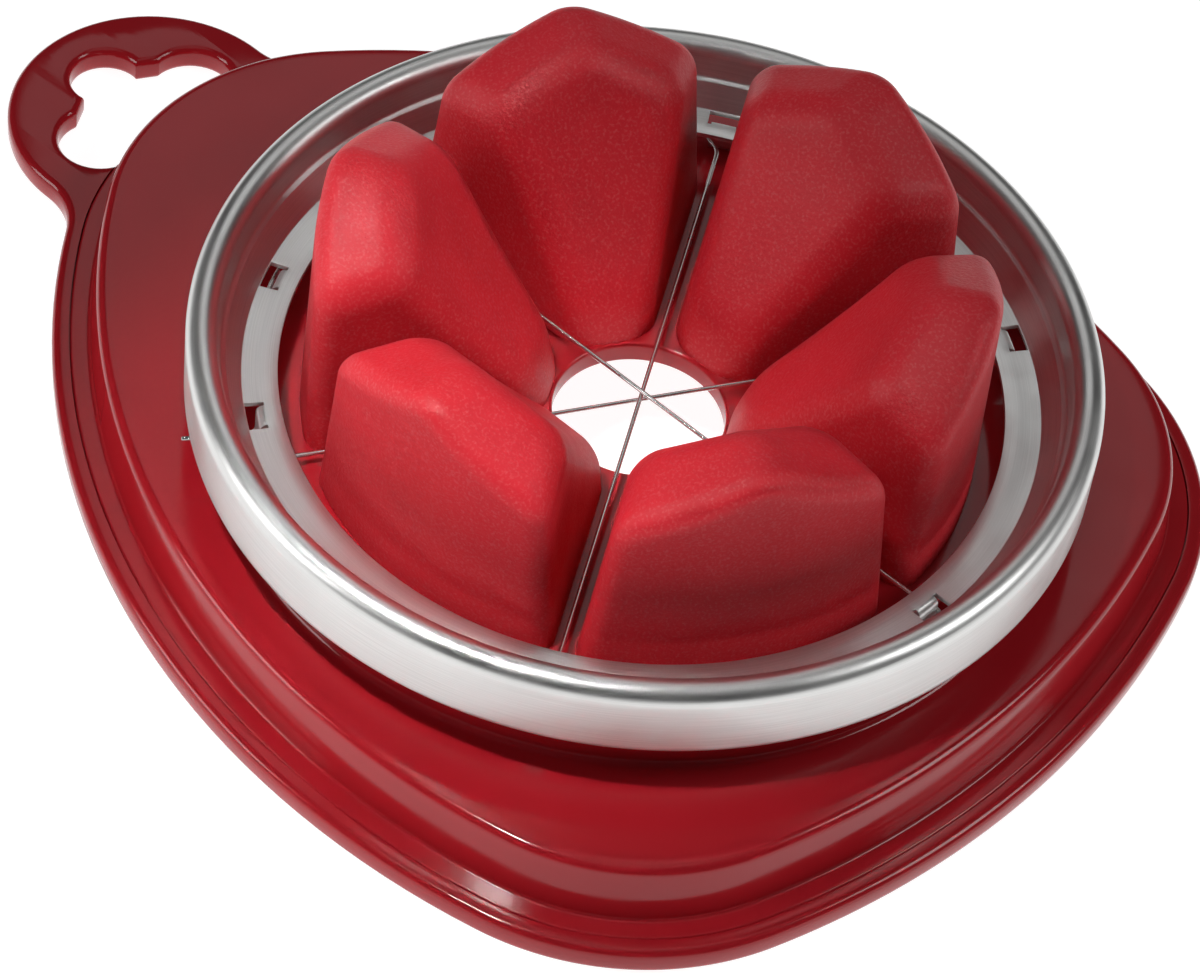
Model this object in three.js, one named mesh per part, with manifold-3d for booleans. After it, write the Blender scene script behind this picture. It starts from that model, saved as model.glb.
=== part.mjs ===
// Egg wedger: a red plastic base with six wedge-shaped posts, and a steel ring strung with one
// cutting wire, which is pressed down over the posts and cuts an egg standing on them into wedges.
// Millimetres, +Z up. The base stands on z = 0, its hanging loop points along -X, and the origin is
// the middle of its footprint. Radii and plan positions below are measured from the ring's axis.
import * as THREE from "three";
import { mergeVertices } from "three/addons/utils/BufferGeometryUtils.js";
import Module from "manifold-3d";

const wasm = await Module();
wasm.setup();

// ---- driving dimensions -------------------------------------------------------------------------

// Cutter ring: sheet steel with a skirt, a rolled bead, a sloping inner wall and a flat flange.
const RING_RADIUS = 42.5;
const SHEET = 0.5;
const BEAD_RADIUS = 1.49;
const BEAD_RISE = 4.55; // bead's centre above the flange
const SKIRT_DROP = 1.3; // skirt's lower edge below the flange
const INNER_WALL_RUN = 2.2; // how far the inner wall slopes inwards from bead to flange
const FLANGE_WIDTH = 3.4;
const FLANGE_RISE = 3.9; // flange's upper face above the plinth
const RING_STEPS = 96;
const BEAD_STEPS = 5;

// Tongues lanced out of the flange and bent down, which hold the wire and stand on the plinth.
const TONGUE_WIDTH = 2.4;
const TONGUE_GAP = 0.3; // left between tongue and plinth
const WINDOW_LENGTH = 3.2; // around the ring
const WINDOW_WIDTH = 1.8;
const WINDOW_LIP = 1.5; // flange left inside a window

// Cutting wire: one strand that crosses the ring three times. Each hook is a tongue's angle, the
// angle of the crossing that it ends, and the side of the tongue on which that crossing passes.
const WIRE_DIAMETER = 0.45;
const WIRE_DROP = 2.1; // middle crossing below the flange
const WIRE_GAP = 0.1; // between crossings, and between wire and tongue
const START_TONGUE = 206.5;
const HOOKS = [
  { tongue: 178, crossing: 180, side: -1 },
  { tongue: -1.6, crossing: 0, side: 1 },
  { tongue: 298, crossing: 300, side: -1 },
  { tongue: 120, crossing: 120, side: 1 },
  { tongue: 56.4, crossing: 60, side: -1 },
  { tongue: 234.8, crossing: 240, side: 1 },
];
const TAIL_OVERHANG = 0.5; // how far the wire's end pokes out past the skirt
const RUN_STEPS = 8; // straight steps in each stretch under the flange
const WIRE_SIDES = 8;

// Wedge posts.
const POST_COUNT = 6;
const POST_CLEARANCE = 2.2; // between the posts' foot and the flange
const POST_RISE = 23.95; // ridge's inner end above the plinth
const POST_LEAN = 0.6; // how far the outer face leans inwards
const RIDGE_LENGTH = 7; // of the roof, from its inner to its outer end
const RIDGE_SLOPE = 0.06; // rise of the ridge per millimetre outwards
const ROOF_SLOPE = 0.478; // fall of the roof per millimetre to either side of the ridge
const TOE_RISE = 4.3; // steep face under the sloping inner face
const TOE_LEAN = 0.6;
const TOE_MARGIN = 0.34; // plinth left between toe and hole
const SLOT_WIDTH = 2; // between two posts, at the plinth
const SLOT_DRAFT = 0.1015; // how far each side of a slot leans back per millimetre of height

// Top shell: foot, side wall, deck, and the round plinth that carries the posts.
const SHELL_THICKNESS = 2.2;
const DECK_HEIGHT = 9.14;
const PLINTH_RISE = 3.16; // above the deck
const PLINTH_MARGIN = 3; // plinth's edge inside the ring
const HOLE_RADIUS = 8.16;
const SHOULDER = 1.2; // rounding between side wall and deck
const WALL_INSET = 3.7; // side wall's foot inside the footprint
const WALL_LEAN = 0.6;

// Lower frame: the rim that the base stands on, with the hanging loop.
const RIM_HEIGHT = 2.8;
const RIM_ROUNDING = 0.8;
const RIM_LIP = 1.65; // rim left outside the top shell
const RIM_WIDTH = 6.6;
const REBATE_HEIGHT = 1.4; // shelf inside the lip, which the top shell stands on
const SEAM = 0.15; // between the lip and the top shell
const LOOP_RADIUS = 14.6;
const LOOP_OVERHANG = 0.1; // loop's centre beyond the footprint's tail
const LOOP_NECK_RADIUS = 7;
const EYE_MARGIN = 0.7; // foot left between the loop's eye and the side wall
const EYE_SPREAD = 6.3; // eye's side lobes to either side of the middle
const EYE_LOBE_RADIUS = 4.2;
const EYE_END_OFFSET = 7; // eye's end lobe beyond the loop's centre
const EYE_END_RADIUS = 3.6;

// Footprint: front, corner, side and tail arcs that meet tangentially.
const FRONT_MARGIN = 7.7; // front of the footprint beyond the ring
const FRONT_CENTRE_X = -41.2;
const FRONT_HALF_ANGLE = 18.8; // degrees
const FRONT_TO_CORNER = 63.6; // between the arcs' centres
const CORNER_TO_SIDE = 54.8;
const SIDE_TO_TAIL = 53.8;
const TAIL_CENTRE_X = -37.2;
const ARC_STEPS = 12; // straight steps in each arc

const CUT = 1; // how far a cutter runs past the face it cuts

// ---- derived dimensions -------------------------------------------------------------------------

const radians = THREE.MathUtils.degToRad;
const plinthHeight = DECK_HEIGHT + PLINTH_RISE;
const plinthRadius = RING_RADIUS - PLINTH_MARGIN;
const flangeHeight = plinthHeight + FLANGE_RISE;
const flangeOuter = RING_RADIUS - 2 * BEAD_RADIUS - INNER_WALL_RUN;
const flangeInner = flangeOuter - FLANGE_WIDTH;
const windowInner = flangeInner + WINDOW_LIP;
const postFoot = flangeInner - POST_CLEARANCE;
const frontRadius = RING_RADIUS + FRONT_MARGIN - FRONT_CENTRE_X;
const cornerRadius = frontRadius - FRONT_TO_CORNER;
const sideRadius = cornerRadius + CORNER_TO_SIDE;
const tailRadius = sideRadius - SIDE_TO_TAIL;
const tailX = TAIL_CENTRE_X - tailRadius;
const loopX = tailX - LOOP_OVERHANG;
const frontX = RING_RADIUS + FRONT_MARGIN;
const middleX = (frontX + loopX - LOOP_RADIUS) / 2;

// ---- materials ----------------------------------------------------------------------------------

const glossyRed = new THREE.MeshStandardMaterial({ color: 0xb01a22, roughness: 0.15, metalness: 0 });
const matteRed = new THREE.MeshStandardMaterial({ color: 0xd8323a, roughness: 0.5, metalness: 0 });
const steel = new THREE.MeshStandardMaterial({ color: 0xc8c8c6, roughness: 0.25, metalness: 1 });

// ---- shared geometry ----------------------------------------------------------------------------

// The manifold solid of a closed geometry.
function solidOf(geometry) {
  const bare = geometry.clone();
  bare.deleteAttribute("normal");
  bare.deleteAttribute("uv");
  const merged = mergeVertices(bare);
  return new wasm.Manifold(
    new wasm.Mesh({
      numProp: 3,
      vertProperties: merged.getAttribute("position").array,
      triVerts: new Uint32Array(merged.index.array),
    }),
  );
}

// A named mesh of a solid, moved so that the footprint's middle is the origin.
function piece(name, solid, material) {
  const { vertProperties, triVerts } = solid.getMesh();
  const indexed = new THREE.BufferGeometry();
  indexed.setAttribute("position", new THREE.BufferAttribute(vertProperties, 3));
  indexed.setIndex(new THREE.BufferAttribute(triVerts, 1));
  const geometry = indexed.toNonIndexed();
  geometry.translate(-middleX, 0, 0);
  geometry.computeVertexNormals();
  const mesh = new THREE.Mesh(geometry, material);
  mesh.name = name;
  return mesh;
}

// The solid of a section turned about the ring's axis. Its points are radii and heights.
function turned(section) {
  return solidOf(new THREE.LatheGeometry(section, RING_STEPS).rotateX(Math.PI / 2));
}

// The point at a radius, an angle in degrees and a height.
function polar(radius, degrees, height) {
  const angle = radians(degrees);
  return new THREE.Vector3(radius * Math.cos(angle), radius * Math.sin(angle), height);
}

// The faces that join each closed row of points to the next one.
function bandFaces(rowCount, pointCount, wraps) {
  const faces = [];
  for (let row = 0; row < (wraps ? rowCount : rowCount - 1); row += 1) {
    const here = row * pointCount;
    const next = ((row + 1) % rowCount) * pointCount;
    for (let i = 0; i < pointCount; i += 1) {
      const j = (i + 1) % pointCount;
      faces.push(here + i, here + j, next + j, here + i, next + j, next + i);
    }
  }
  return faces;
}

function indexedGeometry(points, faces) {
  const geometry = new THREE.BufferGeometry().setFromPoints(points);
  geometry.setIndex(faces);
  return geometry;
}

// A hoop: closed rows of points, of which the last one joins the first.
function hoop(rows) {
  return solidOf(indexedGeometry(rows.flat(), bandFaces(rows.length, rows[0].length, true)));
}

// A round rod along a nearly level path, with its corners mitred.
function rod(path, diameter, sides) {
  const up = new THREE.Vector3(0, 0, 1);
  const rows = path.map((point, i) => {
    const before = path[Math.max(i - 1, 0)];
    const after = path[Math.min(i + 1, path.length - 1)];
    const incoming = point.clone().sub(before).normalize();
    const outgoing = after.clone().sub(point).normalize();
    const aside = up.clone().cross(incoming.add(outgoing)).normalize();
    return Array.from({ length: sides }, (_, k) => {
      const turn = (2 * Math.PI * k) / sides;
      return point
        .clone()
        .addScaledVector(aside, (diameter / 2) * Math.cos(turn))
        .addScaledVector(up, (diameter / 2) * Math.sin(turn));
    });
  });
  const faces = bandFaces(rows.length, sides, false);
  const last = (rows.length - 1) * sides;
  for (let k = 1; k < sides - 1; k += 1) {
    faces.push(0, k + 1, k);
    faces.push(last, last + k, last + k + 1);
  }
  return solidOf(indexedGeometry(rows.flat(), faces));
}

// The upright solid of a flat shape between two heights.
function slab(shape, bottom, top) {
  const geometry = new THREE.ExtrudeGeometry(shape, {
    depth: top - bottom,
    bevelEnabled: false,
    curveSegments: ARC_STEPS,
  });
  geometry.translate(0, 0, bottom);
  return solidOf(geometry);
}

// Everything behind a plane, out to a reach that covers the whole object.
function behindPlane(point, normal) {
  const reach = 8 * RING_RADIUS;
  const geometry = new THREE.BoxGeometry(reach, reach, reach);
  geometry.translate(0, 0, -reach / 2);
  const turn = new THREE.Quaternion().setFromUnitVectors(new THREE.Vector3(0, 0, 1), normal.normalize());
  geometry.applyQuaternion(turn);
  geometry.translate(point.x, point.y, point.z);
  return solidOf(geometry);
}

// ---- footprint ----------------------------------------------------------------------------------

// Where two circles cross, on the side of the smaller y.
function lowerCrossing(centreA, radiusA, centreB, radiusB) {
  const unit = centreB.clone().sub(centreA);
  const distance = unit.length();
  unit.divideScalar(distance);
  const along = (distance ** 2 + radiusA ** 2 - radiusB ** 2) / (2 * distance);
  const aside = Math.sqrt(radiusA ** 2 - along ** 2) * Math.sign(unit.x);
  return new THREE.Vector2(
    centreA.x + along * unit.x + aside * unit.y,
    centreA.y + along * unit.y - aside * unit.x,
  );
}

const frontAngle = radians(FRONT_HALF_ANGLE);
const frontCentre = new THREE.Vector2(FRONT_CENTRE_X, 0);
const cornerCentre = new THREE.Vector2(Math.cos(frontAngle), Math.sin(frontAngle))
  .multiplyScalar(FRONT_TO_CORNER)
  .add(frontCentre);
const tailCentre = new THREE.Vector2(TAIL_CENTRE_X, 0);
const sideCentre = lowerCrossing(cornerCentre, CORNER_TO_SIDE, tailCentre, SIDE_TO_TAIL);
const cornerEnd = cornerCentre.clone().sub(sideCentre).angle();
const sideEnd = tailCentre.clone().sub(sideCentre).angle();

// The footprint's points, anticlockwise, moved inwards by the inset.
function outline(inset) {
  const path = new THREE.Path();
  const arc = (centre, radius, start, end) => path.absarc(centre.x, centre.y, radius - inset, start, end);
  const mirroredArc = (centre, radius, start, end) =>
    path.absarc(centre.x, -centre.y, radius - inset, -end, -start);
  arc(frontCentre, frontRadius, -frontAngle, frontAngle);
  arc(cornerCentre, cornerRadius, frontAngle, cornerEnd);
  arc(sideCentre, sideRadius, cornerEnd, sideEnd);
  arc(tailCentre, tailRadius, sideEnd, 2 * Math.PI - sideEnd);
  mirroredArc(sideCentre, sideRadius, cornerEnd, sideEnd);
  mirroredArc(cornerCentre, cornerRadius, frontAngle, cornerEnd);
  // Neighbouring arcs share an end, so the first point of each later arc is left out.
  return path.curves
    .filter((curve) => curve.isEllipseCurve)
    .flatMap((curve) => curve.getPoints(ARC_STEPS).slice(1));
}

const outlineRow = (inset, height) =>
  outline(inset).map((point) => new THREE.Vector3(point.x, point.y, height));

// A circle about the ring's axis, with a point towards each point of the outline.
const circleRow = (radius, height) =>
  outline(0).map((point) => polar(radius, THREE.MathUtils.radToDeg(point.angle()), height));

// The hanging loop's eye: a wide slot beside the side wall, with a round lobe at the loop's end.
function eye() {
  const lobeX = tailX + WALL_INSET - EYE_MARGIN - EYE_LOBE_RADIUS;
  const slot = new THREE.Shape();
  slot.absarc(lobeX, EYE_SPREAD, EYE_LOBE_RADIUS, 0, Math.PI);
  slot.absarc(lobeX, -EYE_SPREAD, EYE_LOBE_RADIUS, Math.PI, 2 * Math.PI);
  const end = new THREE.Shape();
  end.absarc(loopX - EYE_END_OFFSET, 0, EYE_END_RADIUS, 0, 2 * Math.PI);
  return slab(slot, -CUT, RIM_HEIGHT + CUT).add(slab(end, -CUT, RIM_HEIGHT + CUT));
}

// ---- base ---------------------------------------------------------------------------------------

// Rim with a rounded upper edge and a rebate for the top shell, and the hanging loop on its tail.
function lowerFrame() {
  const rim = hoop([
    outlineRow(RIM_WIDTH, 0),
    outlineRow(0, 0),
    outlineRow(0, RIM_HEIGHT - RIM_ROUNDING),
    outlineRow(RIM_ROUNDING * (1 - Math.SQRT1_2), RIM_HEIGHT - RIM_ROUNDING * (1 - Math.SQRT1_2)),
    outlineRow(RIM_ROUNDING, RIM_HEIGHT),
    outlineRow(RIM_LIP, RIM_HEIGHT),
    outlineRow(RIM_LIP, REBATE_HEIGHT),
    outlineRow(RIM_WIDTH, REBATE_HEIGHT),
  ]);
  const loopCentre = new THREE.Vector2(loopX, 0);
  const neck = lowerCrossing(
    loopCentre,
    LOOP_RADIUS + LOOP_NECK_RADIUS,
    tailCentre,
    tailRadius + LOOP_NECK_RADIUS,
  );
  const toTail = tailCentre.clone().sub(neck).angle();
  const toLoop = loopCentre.clone().sub(neck).angle();
  const loopAngle = toLoop - Math.PI;
  const shape = new THREE.Shape();
  shape.absarc(neck.x, -neck.y, LOOP_NECK_RADIUS, -toTail, -toLoop, true);
  shape.absarc(loopX, 0, LOOP_RADIUS, -loopAngle, 2 * Math.PI + loopAngle);
  shape.absarc(neck.x, neck.y, LOOP_NECK_RADIUS, toLoop, toTail, true);
  const rebate = slab(new THREE.Shape(outline(RIM_LIP)), REBATE_HEIGHT, RIM_HEIGHT + CUT);
  const loop = slab(shape, 0, RIM_HEIGHT).subtract(rebate);
  return rim.add(loop).subtract(eye());
}

// Hollow shell, open underneath: foot, leaning side wall, shoulder, deck, plinth and centre hole.
function topShell() {
  const ceiling = DECK_HEIGHT - SHELL_THICKNESS;
  const deckInset = WALL_INSET + WALL_LEAN;
  const shell = hoop([
    outlineRow(RIM_LIP + SEAM, REBATE_HEIGHT),
    outlineRow(RIM_LIP + SEAM, RIM_HEIGHT),
    outlineRow(WALL_INSET, RIM_HEIGHT),
    outlineRow(deckInset, DECK_HEIGHT - SHOULDER),
    outlineRow(deckInset + SHOULDER * (1 - Math.SQRT1_2), DECK_HEIGHT - SHOULDER * (1 - Math.SQRT1_2)),
    outlineRow(deckInset + SHOULDER, DECK_HEIGHT),
    circleRow(plinthRadius, DECK_HEIGHT),
    circleRow(plinthRadius, plinthHeight),
    circleRow(HOLE_RADIUS, plinthHeight),
    circleRow(HOLE_RADIUS, plinthHeight - SHELL_THICKNESS),
    circleRow(plinthRadius - SHELL_THICKNESS, plinthHeight - SHELL_THICKNESS),
    circleRow(plinthRadius - SHELL_THICKNESS, ceiling),
    outlineRow(deckInset + SHELL_THICKNESS, ceiling),
    outlineRow(WALL_INSET + SHELL_THICKNESS, REBATE_HEIGHT),
  ]);
  return shell.subtract(eye());
}

// One wedge between two slots: drafted sides, sloping inner face over a steep toe, gabled roof and
// a round outer face. Planes cut it out of a cone frustum.
function wedgePost(degrees) {
  const ridgeHeight = plinthHeight + POST_RISE;
  const top = ridgeHeight + CUT;
  const toeFoot = HOLE_RADIUS + TOE_MARGIN;
  const toeTop = toeFoot + TOE_LEAN;
  const ridgeInner = postFoot - POST_LEAN - RIDGE_LENGTH;
  const profile = [
    new THREE.Vector2(0, plinthHeight),
    new THREE.Vector2(postFoot, plinthHeight),
    new THREE.Vector2(postFoot - (POST_LEAN * (top - plinthHeight)) / POST_RISE, top),
    new THREE.Vector2(0, top),
  ];
  let post = turned(profile);
  const sector = radians(180 / POST_COUNT);
  const slotOffset = SLOT_WIDTH / 2 / Math.sin(sector);
  const ridge = new THREE.Vector3(ridgeInner, 0, ridgeHeight);
  const planes = [
    [new THREE.Vector3(toeFoot, 0, plinthHeight), new THREE.Vector3(-TOE_RISE, 0, TOE_LEAN)],
    [ridge.clone(), new THREE.Vector3(TOE_RISE - POST_RISE, 0, ridgeInner - toeTop)],
  ];
  [1, -1].forEach((side) => {
    planes.push([
      new THREE.Vector3(slotOffset, 0, plinthHeight),
      new THREE.Vector3(-Math.sin(sector), side * Math.cos(sector), SLOT_DRAFT),
    ]);
    planes.push([ridge.clone(), new THREE.Vector3(-RIDGE_SLOPE, side * ROOF_SLOPE, 1)]);
  });
  const axis = new THREE.Vector3(0, 0, 1);
  planes.forEach(([point, normal]) => {
    point.applyAxisAngle(axis, radians(degrees));
    normal.applyAxisAngle(axis, radians(degrees));
    post = post.intersect(behindPlane(point, normal));
  });
  return post;
}

// ---- cutter -------------------------------------------------------------------------------------

// Sheet metal section: up the skirt, round the bead, down the inner wall, along the flange and back.
function cutterRing() {
  const beadCentre = new THREE.Vector2(RING_RADIUS - BEAD_RADIUS, flangeHeight + BEAD_RISE);
  const skirtBottom = flangeHeight - SKIRT_DROP;
  const side = (offset) => {
    const half = Array.from({ length: BEAD_STEPS + 1 }, (_, i) => {
      const turn = (Math.PI * i) / BEAD_STEPS;
      const radius = BEAD_RADIUS - offset;
      return new THREE.Vector2(Math.cos(turn), Math.sin(turn)).multiplyScalar(radius).add(beadCentre);
    });
    return [
      new THREE.Vector2(RING_RADIUS - offset, skirtBottom),
      ...half,
      new THREE.Vector2(flangeOuter + offset, flangeHeight - offset),
      new THREE.Vector2(flangeInner, flangeHeight - offset),
    ];
  };
  const section = [...side(0), ...side(SHEET).reverse()];
  section.push(section[0].clone());
  let ring = turned(section);
  const tongues = [START_TONGUE, ...HOOKS.map((hook) => hook.tongue)];
  tongues.forEach((degrees) => {
    const window = new THREE.BoxGeometry(WINDOW_WIDTH, WINDOW_LENGTH, 2 * CUT);
    window.translate(windowInner + WINDOW_WIDTH / 2, 0, flangeHeight - SHEET / 2).rotateZ(radians(degrees));
    const tongueBottom = plinthHeight + TONGUE_GAP;
    const tongue = new THREE.BoxGeometry(SHEET, TONGUE_WIDTH, flangeHeight - tongueBottom);
    tongue.translate(windowInner, 0, (flangeHeight + tongueBottom) / 2).rotateZ(radians(degrees));
    ring = ring.subtract(solidOf(window)).add(solidOf(tongue));
  });
  return ring;
}

// The wire's way round one hook, from the crossing outwards: it bends to the tongue's side, and
// passes behind the tongue.
function hookPath({ tongue, crossing, side }, height) {
  const reach = WIRE_DIAMETER / 2 + WIRE_GAP;
  const back = windowInner + SHEET / 2 + reach;
  const front = windowInner - SHEET / 2;
  const beside = side * THREE.MathUtils.radToDeg((TONGUE_WIDTH / 2 + reach) / back);
  return [
    polar(postFoot, crossing, height),
    polar(front, tongue + beside, height),
    polar(back, tongue + beside, height),
    polar(back, tongue, height),
  ];
}

// From the start tongue to each crossing in turn, under the flange between them, to the tail.
function cuttingWire() {
  const pitch = WIRE_DIAMETER + WIRE_GAP;
  const path = [];
  const runTo = (point) => {
    const from = path.at(-1);
    const radius = Math.hypot(point.x, point.y);
    const start = Math.atan2(from.y, from.x);
    const sweep = THREE.MathUtils.euclideanModulo(start - Math.atan2(point.y, point.x), 2 * Math.PI);
    for (let i = 1; i < RUN_STEPS; i += 1) {
      const share = i / RUN_STEPS;
      const height = THREE.MathUtils.lerp(from.z, point.z, share);
      path.push(polar(radius, THREE.MathUtils.radToDeg(start - sweep * share), height));
    }
  };
  const start = { tongue: START_TONGUE, crossing: START_TONGUE, side: 1 };
  for (let i = 0; i < HOOKS.length; i += 2) {
    const height = flangeHeight - WIRE_DROP + pitch * (1 - i / 2);
    if (i === 0) path.push(...hookPath(start, height).slice(1));
    const arrival = hookPath(HOOKS[i], height).reverse();
    runTo(arrival[0]);
    path.push(...arrival, ...hookPath(HOOKS[i + 1], height));
  }
  path.push(polar(RING_RADIUS + TAIL_OVERHANG, HOOKS.at(-1).tongue, path.at(-1).z));
  return rod(path, WIRE_DIAMETER, WIRE_SIDES);
}

// ---- assembly -----------------------------------------------------------------------------------

const eggWedger = new THREE.Group();
eggWedger.add(piece("lower_frame", lowerFrame(), glossyRed));
eggWedger.add(piece("top_shell", topShell(), glossyRed));
for (let i = 0; i < POST_COUNT; i += 1) {
  const degrees = (360 / POST_COUNT) * (i + 0.5);
  eggWedger.add(piece(`wedge_post_${i + 1}`, wedgePost(degrees), matteRed));
}
eggWedger.add(piece("cutter_ring", cutterRing(), steel));
eggWedger.add(piece("cutting_wire", cuttingWire(), steel));

export default eggWedger;
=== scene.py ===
import math

import bmesh
import bpy
import numpy as np
from mathutils import Matrix, Vector


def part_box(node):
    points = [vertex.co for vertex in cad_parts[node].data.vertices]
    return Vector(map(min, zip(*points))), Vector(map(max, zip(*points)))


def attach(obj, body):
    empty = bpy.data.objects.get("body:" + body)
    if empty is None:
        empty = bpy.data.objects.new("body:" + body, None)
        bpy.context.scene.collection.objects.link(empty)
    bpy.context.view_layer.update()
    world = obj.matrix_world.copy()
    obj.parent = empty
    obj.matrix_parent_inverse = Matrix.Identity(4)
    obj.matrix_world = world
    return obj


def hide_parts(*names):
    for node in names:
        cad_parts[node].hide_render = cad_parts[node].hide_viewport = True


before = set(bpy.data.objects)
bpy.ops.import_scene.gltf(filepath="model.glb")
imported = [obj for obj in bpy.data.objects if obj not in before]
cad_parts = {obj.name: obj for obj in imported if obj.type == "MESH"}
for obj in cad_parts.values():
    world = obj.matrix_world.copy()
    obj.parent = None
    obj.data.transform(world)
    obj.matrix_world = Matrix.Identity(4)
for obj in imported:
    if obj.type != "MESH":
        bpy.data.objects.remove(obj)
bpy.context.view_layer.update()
MM = 0.001

# ---- camera, floor and light -------------------------------------------------------------------
# A studio table: a long lens from above the front right corner of the base, a white floor to stand
# on, broad soft boxes on the right, left, back and above, and a gridded one on the nearest posts.

CAMERA_PLACE = Vector((186.61, -228.27, 322.65)) * MM
CAMERA_FORWARD = Vector((-0.4028, 0.5264, -0.7488))
CAMERA_ROLL = math.radians(7.69)
CAMERA_LENS_MM = 135.15
CAMERA_SENSOR_MM = 36


def look_along(place, forward, roll):
    """A camera's matrix: its -Z runs along forward, its X is level, and both then turn by roll."""
    forward = forward.normalized()
    right = forward.cross(Vector((0, 0, 1))).normalized()
    up = right.cross(forward)
    turned_right = right * math.cos(roll) + up * math.sin(roll)
    turned_up = up * math.cos(roll) - right * math.sin(roll)
    columns = Matrix((turned_right, turned_up, -forward)).transposed()
    return Matrix.Translation(place) @ columns.to_4x4()


camera = bpy.data.objects.new("camera", bpy.data.cameras.new("camera"))
bpy.context.scene.collection.objects.link(camera)
camera.data.lens = CAMERA_LENS_MM
camera.data.sensor_width = CAMERA_SENSOR_MM
camera.data.clip_start = 0.01
camera.matrix_world = look_along(CAMERA_PLACE, CAMERA_FORWARD, CAMERA_ROLL)
bpy.context.scene.camera = camera


def soft_box(name, place, aim, width, height, power, spread=180):
    """A rectangular area light at place that faces aim, with a grid that narrows it to spread."""
    light = bpy.data.lights.new(name, "AREA")
    light.shape = "RECTANGLE"
    light.size = width
    light.size_y = height
    light.energy = power
    light.spread = math.radians(spread)
    box = bpy.data.objects.new(name, light)
    bpy.context.scene.collection.objects.link(box)
    box.location = place
    box.rotation_euler = (Vector(aim) - Vector(place)).to_track_quat("-Z", "Y").to_euler()
    return box


PLINTH_CENTRE = (0, 0, 0.02)
NEAREST_POSTS = (0.012, -0.026, 0.03)
soft_box("key_right", (0.36, 0.24, 0.40), PLINTH_CENTRE, 0.22, 0.22, 0.8)
soft_box("front_grid", (-0.04, -0.15, 0.42), NEAREST_POSTS, 0.04, 0.04, 0.012, 13)
soft_box("fill_left", (-0.35, -0.43, 0.23), PLINTH_CENTRE, 0.25, 0.25, 1.0)
soft_box("fill_behind", (-0.24, 0.28, 0.47), PLINTH_CENTRE, 0.35, 0.3, 0.22)
soft_box("fill_above", (0, 0, 0.6), PLINTH_CENTRE, 0.4, 0.4, 0.2)

WORLD_LIGHT = 0.03
world = bpy.data.worlds.new("studio")
world.use_nodes = True
world_light = world.node_tree.nodes["Background"]
world_light.inputs["Color"].default_value = (1, 1, 1, 1)
seen = world.node_tree.nodes.new("ShaderNodeLightPath")
backdrop = world.node_tree.nodes.new("ShaderNodeMapRange")
backdrop.inputs["To Min"].default_value = WORLD_LIGHT
backdrop.inputs["To Max"].default_value = 1
world.node_tree.links.new(seen.outputs["Is Camera Ray"], backdrop.inputs["Value"])
world.node_tree.links.new(backdrop.outputs["Result"], world_light.inputs["Strength"])
bpy.context.scene.world = world

FLOOR_HALF = 8.0
FLOOR_HEIGHT = -0.05 * MM
floor_corners = [(-1, -1), (1, -1), (1, 1), (-1, 1)]
floor_points = [(FLOOR_HALF * x, FLOOR_HALF * y, FLOOR_HEIGHT) for x, y in floor_corners]
floor_mesh = bpy.data.meshes.new("floor")
floor_mesh.from_pydata(floor_points, [], [(0, 1, 2, 3)])
floor = bpy.data.objects.new("floor", floor_mesh)
bpy.context.scene.collection.objects.link(floor)
floor_finish = bpy.data.materials.new("pale_floor")
floor_finish.use_nodes = True
floor_shader = floor_finish.node_tree.nodes["Principled BSDF"]
floor_shader.inputs["Base Color"].default_value = (0.3, 0.3, 0.3, 1)
floor_shader.inputs["Roughness"].default_value = 0.9
floor_shader.inputs["Emission Color"].default_value = (1, 1, 1, 1)
floor_shader.inputs["Emission Strength"].default_value = 0.95
floor.data.materials.append(floor_finish)

# ---- lower frame -------------------------------------------------------------------------------
# The rim that the base stands on: a thin injection-moulded ring of glossy red plastic with a
# rounded edge, a rebate that takes the cover's foot, and a hanging loop with a clover-shaped eye.

ring_low, ring_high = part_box("cutter_ring")
rim_low, rim_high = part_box("lower_frame")
AXIS_X = (ring_low.x + ring_high.x) / 2
RING_RADIUS = (ring_high.x - ring_low.x) / 2
FRONT_X = rim_high.x - AXIS_X
RIM_HEIGHT = rim_high.z
RIM_ROUNDING = 0.8 * MM
RIM_LIP = 1.65 * MM
RIM_WIDTH = 6.6 * MM
REBATE_HEIGHT = 1.4 * MM
FRONT_CENTRE_X = -41.2 * MM
FACET_MARGIN = 0.08 * MM
FRONT_HALF_ANGLE = math.radians(18.8)
FRONT_TO_CORNER = 63.6 * MM
CORNER_TO_SIDE = 54.8 * MM
SIDE_TO_TAIL = 53.8 * MM
TAIL_CENTRE_X = -37.2 * MM
LOOP_RADIUS = 14.6 * MM
LOOP_NECK_RADIUS = 7 * MM
EYE_LOBE_RADIUS = 4.2 * MM
EYE_SPREAD = 6.3 * MM
EYE_END_RADIUS = 3.6 * MM
EYE_END_OFFSET = 7 * MM
EYE_MARGIN = 3 * MM
LOBE_CUSP = 0.35
SLOT_CUSP = 0.15
EYE_STEPS = 24
LOOP_STEPS = 48
NECK_STEPS = 12
ARC_POINTS = 40


def circle_crossing(centre_a, radius_a, centre_b, radius_b):
    """Where two circles cross, on the side of the smaller y: as far along the line of centres as
    the cosine rule says, and the rest of radius_a square to it."""
    across = centre_b - centre_a
    distance = np.hypot(*across)
    unit = across / distance
    along = (distance**2 + radius_a**2 - radius_b**2) / (2 * distance)
    aside = math.sqrt(radius_a**2 - along**2) * np.sign(unit[0])
    return centre_a + along * unit + aside * np.array([unit[1], -unit[0]])


def heading(start, end):
    """The angle of the line from start to end, from 0 to a full turn."""
    return math.atan2(end[1] - start[1], end[0] - start[0]) % (2 * math.pi)


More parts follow.
